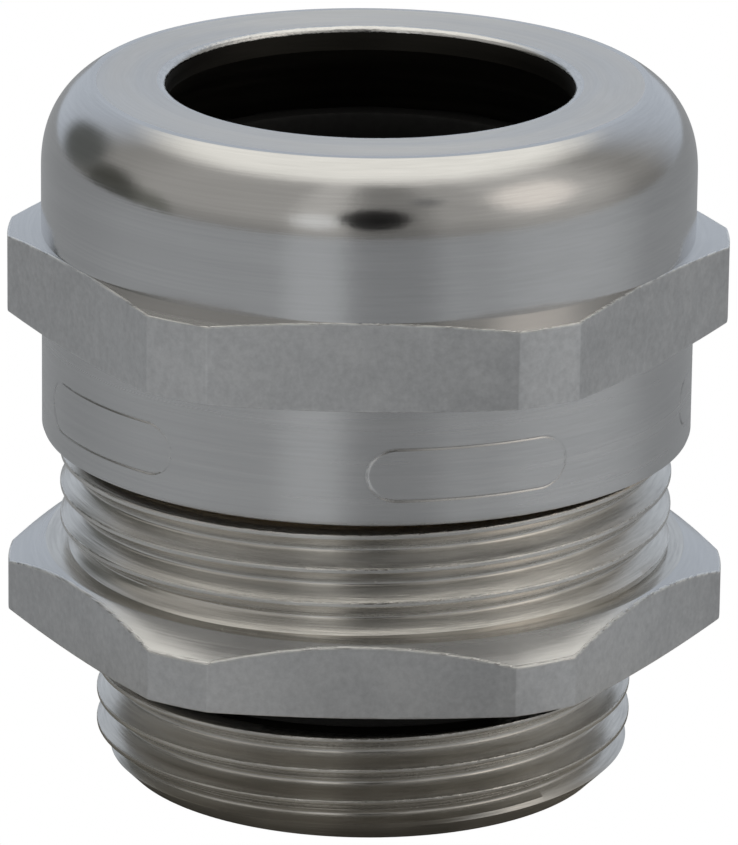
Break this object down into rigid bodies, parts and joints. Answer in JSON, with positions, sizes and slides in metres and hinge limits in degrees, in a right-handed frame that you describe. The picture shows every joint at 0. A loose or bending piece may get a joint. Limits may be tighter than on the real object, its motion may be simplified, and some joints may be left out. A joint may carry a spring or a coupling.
{
  "type": "cable gland",
  "caption": "Round metal cable gland: a hexagon-necked body with a male connection thread, and a domed clamping nut that closes a rubber seal round a cable.",
  "frame": {"origin": "centre of the body's lower end face, in the plane that the gland stands on", "axes": "+Z along the cable axis from the connection thread to the domed nut; two flats of the body's hexagon face +Y and -Y, and two of its corners +X and -X"},
  "size_m": [0.033, 0.0302, 0.0325],
  "materials": {
    "nickel_plated_brass": "satin nickel plate over fine turning marks",
    "black_polyamide": "matt moulded",
    "black_rubber": "matt"
  },
  "bodies": {
    "gland": {"gland_body": "nickel_plated_brass", "connection_o_ring": "black_rubber", "clamp_cage": "black_polyamide"},
    "sealing_insert": {"sealing_insert": "black_rubber"},
    "cap_nut": {"cap_nut": "nickel_plated_brass"},
    "lamella_01": {"lamella_01": "black_polyamide"},
    "lamella_02": {"lamella_02": "black_polyamide"},
    "lamella_03": {"lamella_03": "black_polyamide"},
    "lamella_04": {"lamella_04": "black_polyamide"},
    "lamella_05": {"lamella_05": "black_polyamide"},
    "lamella_06": {"lamella_06": "black_polyamide"},
    "lamella_07": {"lamella_07": "black_polyamide"},
    "lamella_08": {"lamella_08": "black_polyamide"},
    "lamella_09": {"lamella_09": "black_polyamide"},
    "lamella_10": {"lamella_10": "black_polyamide"},
    "lamella_11": {"lamella_11": "black_polyamide"},
    "lamella_12": {"lamella_12": "black_polyamide"},
    "lamella_13": {"lamella_13": "black_polyamide"},
    "lamella_14": {"lamella_14": "black_polyamide"},
    "lamella_15": {"lamella_15": "black_polyamide"},
    "lamella_16": {"lamella_16": "black_polyamide"}
  },
  "joints": [
    {"name": "cap_nut_travel", "type": "slide", "parent": "gland", "child": "sealing_insert", "axis": [0, 0, 1], "range_m": [-0.004, 0.0016], "deforming": ["sealing_insert"]},
    {"name": "cap_nut_turn", "type": "hinge", "parent": "sealing_insert", "child": "cap_nut", "pos_m": [0, 0, 0.0234], "axis": [0, 0, 1], "range_deg": [-900, 360]},
    {"name": "lamella_01_bend", "type": "hinge", "parent": "gland", "child": "lamella_01", "pos_m": [0.0126, 0, 0.022], "axis": [0, -1, 0], "range_deg": [-9.6, 24], "stiffness_Nm_per_rad": 0.00000068, "springref_deg": -9.6},
    {"name": "lamella_02_bend", "type": "hinge", "parent": "gland", "child": "lamella_02", "pos_m": [0.01164, 0.00482, 0.022], "axis": [0.3827, -0.9239, 0], "range_deg": [-9.6, 24], "stiffness_Nm_per_rad": 0.00000068, "springref_deg": -9.6},
    {"name": "lamella_03_bend", "type": "hinge", "parent": "gland", "child": "lamella_03", "pos_m": [0.00891, 0.00891, 0.022], "axis": [0.7071, -0.7071, 0], "range_deg": [-9.6, 24], "stiffness_Nm_per_rad": 0.00000068, "springref_deg": -9.6},
    {"name": "lamella_04_bend", "type": "hinge", "parent": "gland", "child": "lamella_04", "pos_m": [0.00482, 0.01164, 0.022], "axis": [0.9239, -0.3827, 0], "range_deg": [-9.6, 24], "stiffness_Nm_per_rad": 0.00000068, "springref_deg": -9.6},
    {"name": "lamella_05_bend", "type": "hinge", "parent": "gland", "child": "lamella_05", "pos_m": [0, 0.0126, 0.022], "axis": [1, 0, 0], "range_deg": [-9.6, 24], "stiffness_Nm_per_rad": 0.00000068, "springref_deg": -9.6},
    {"name": "lamella_06_bend", "type": "hinge", "parent": "gland", "child": "lamella_06", "pos_m": [-0.00482, 0.01164, 0.022], "axis": [0.9239, 0.3827, 0], "range_deg": [-9.6, 24], "stiffness_Nm_per_rad": 0.00000068, "springref_deg": -9.6},
    {"name": "lamella_07_bend", "type": "hinge", "parent": "gland", "child": "lamella_07", "pos_m": [-0.00891, 0.00891, 0.022], "axis": [0.7071, 0.7071, 0], "range_deg": [-9.6, 24], "stiffness_Nm_per_rad": 0.00000068, "springref_deg": -9.6},
    {"name": "lamella_08_bend", "type": "hinge", "parent": "gland", "child": "lamella_08", "pos_m": [-0.01164, 0.00482, 0.022], "axis": [0.3827, 0.9239, 0], "range_deg": [-9.6, 24], "stiffness_Nm_per_rad": 0.00000068, "springref_deg": -9.6},
    {"name": "lamella_09_bend", "type": "hinge", "parent": "gland", "child": "lamella_09", "pos_m": [-0.0126, 0, 0.022], "axis": [0, 1, 0], "range_deg": [-9.6, 24], "stiffness_Nm_per_rad": 0.00000068, "springref_deg": -9.6},
    {"name": "lamella_10_bend", "type": "hinge", "parent": "gland", "child": "lamella_10", "pos_m": [-0.01164, -0.00482, 0.022], "axis": [-0.3827, 0.9239, 0], "range_deg": [-9.6, 24], "stiffness_Nm_per_rad": 0.00000068, "springref_deg": -9.6},
    {"name": "lamella_11_bend", "type": "hinge", "parent": "gland", "child": "lamella_11", "pos_m": [-0.00891, -0.00891, 0.022], "axis": [-0.7071, 0.7071, 0], "range_deg": [-9.6, 24], "stiffness_Nm_per_rad": 0.00000068, "springref_deg": -9.6},
    {"name": "lamella_12_bend", "type": "hinge", "parent": "gland", "child": "lamella_12", "pos_m": [-0.00482, -0.01164, 0.022], "axis": [-0.9239, 0.3827, 0], "range_deg": [-9.6, 24], "stiffness_Nm_per_rad": 0.00000068, "springref_deg": -9.6},
    {"name": "lamella_13_bend", "type": "hinge", "parent": "gland", "child": "lamella_13", "pos_m": [0, -0.0126, 0.022], "axis": [-1, 0, 0], "range_deg": [-9.6, 24], "stiffness_Nm_per_rad": 0.00000068, "springref_deg": -9.6},
    {"name": "lamella_14_bend", "type": "hinge", "parent": "gland", "child": "lamella_14", "pos_m": [0.00482, -0.01164, 0.022], "axis": [-0.9239, -0.3827, 0], "range_deg": [-9.6, 24], "stiffness_Nm_per_rad": 0.00000068, "springref_deg": -9.6},
    {"name": "lamella_15_bend", "type": "hinge", "parent": "gland", "child": "lamella_15", "pos_m": [0.00891, -0.00891, 0.022], "axis": [-0.7071, -0.7071, 0], "range_deg": [-9.6, 24], "stiffness_Nm_per_rad": 0.00000068, "springref_deg": -9.6},
    {"name": "lamella_16_bend", "type": "hinge", "parent": "gland", "child": "lamella_16", "pos_m": [0.01164, -0.00482, 0.022], "axis": [-0.3827, -0.9239, 0], "range_deg": [-9.6, 24], "stiffness_Nm_per_rad": 0.00000068, "springref_deg": -9.6}
  ],
  "couplings": [
    {"joint": "cap_nut_travel", "follows": "cap_nut_turn", "m_per_rad": 0.00025266},
    {"joint": "lamella_01_bend", "follows": "cap_nut_turn", "ratio": -0.02666},
    {"joint": "lamella_02_bend", "follows": "cap_nut_turn", "ratio": -0.02666},
    {"joint": "lamella_03_bend", "follows": "cap_nut_turn", "ratio": -0.02666},
    {"joint": "lamella_04_bend", "follows": "cap_nut_turn", "ratio": -0.02666},
    {"joint": "lamella_05_bend", "follows": "cap_nut_turn", "ratio": -0.02666},
    {"joint": "lamella_06_bend", "follows": "cap_nut_turn", "ratio": -0.02666},
    {"joint": "lamella_07_bend", "follows": "cap_nut_turn", "ratio": -0.02666},
    {"joint": "lamella_08_bend", "follows": "cap_nut_turn", "ratio": -0.02666},
    {"joint": "lamella_09_bend", "follows": "cap_nut_turn", "ratio": -0.02666},
    {"joint": "lamella_10_bend", "follows": "cap_nut_turn", "ratio": -0.02666},
    {"joint": "lamella_11_bend", "follows": "cap_nut_turn", "ratio": -0.02666},
    {"joint": "lamella_12_bend", "follows": "cap_nut_turn", "ratio": -0.02666},
    {"joint": "lamella_13_bend", "follows": "cap_nut_turn", "ratio": -0.02666},
    {"joint": "lamella_14_bend", "follows": "cap_nut_turn", "ratio": -0.02666},
    {"joint": "lamella_15_bend", "follows": "cap_nut_turn", "ratio": -0.02666},
    {"joint": "lamella_16_bend", "follows": "cap_nut_turn", "ratio": -0.02666}
  ]
}
